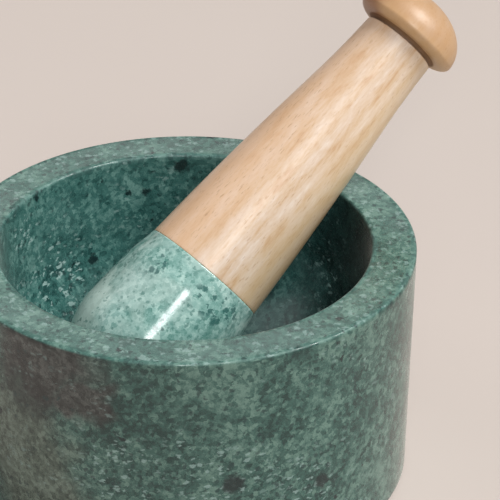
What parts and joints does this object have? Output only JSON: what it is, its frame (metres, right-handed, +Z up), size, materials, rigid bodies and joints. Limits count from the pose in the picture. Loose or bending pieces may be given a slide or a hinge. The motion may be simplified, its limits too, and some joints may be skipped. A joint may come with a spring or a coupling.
{
  "type": "mortar and pestle",
  "caption": "Cylindrical green marble mortar with a round-bottomed bowl and a leaning pestle: marble head, turned wooden handle with a ball knob, felt pad under the base.",
  "frame": {"origin": "centre of the felt pad's underside, on the mortar's axis, on the surface the mortar stands on", "axes": "+Z up along the mortar's axis; +X to the right and +Y away from someone facing it, so the pestle leans towards +X and +Y"},
  "size_m": [0.155, 0.14, 0.1364],
  "materials": {
    "green_marble": "honed green marble with dark clouds and pale flecks",
    "polished_marble": "polished pale green marble with dark flecks",
    "pale_wood": "turned, sanded and waxed pale hardwood",
    "felt": "pressed wool felt",
    "zinc_steel": "zinc-plated thread",
    "epoxy": "cured resin"
  },
  "bodies": {
    "mortar": {"mortar_bowl": "green_marble", "base_pad": "felt"},
    "pestle": {"pestle_head": "polished_marble", "pestle_handle": "pale_wood", "joint_stud": "zinc_steel", "epoxy_sleeve": "epoxy"}
  },
  "joints": [
    {"name": "pestle_lift", "type": "slide", "parent": "mortar", "child": "pestle", "axis": [0, 0, 1], "range_m": [0, 0.08]}
  ]
}
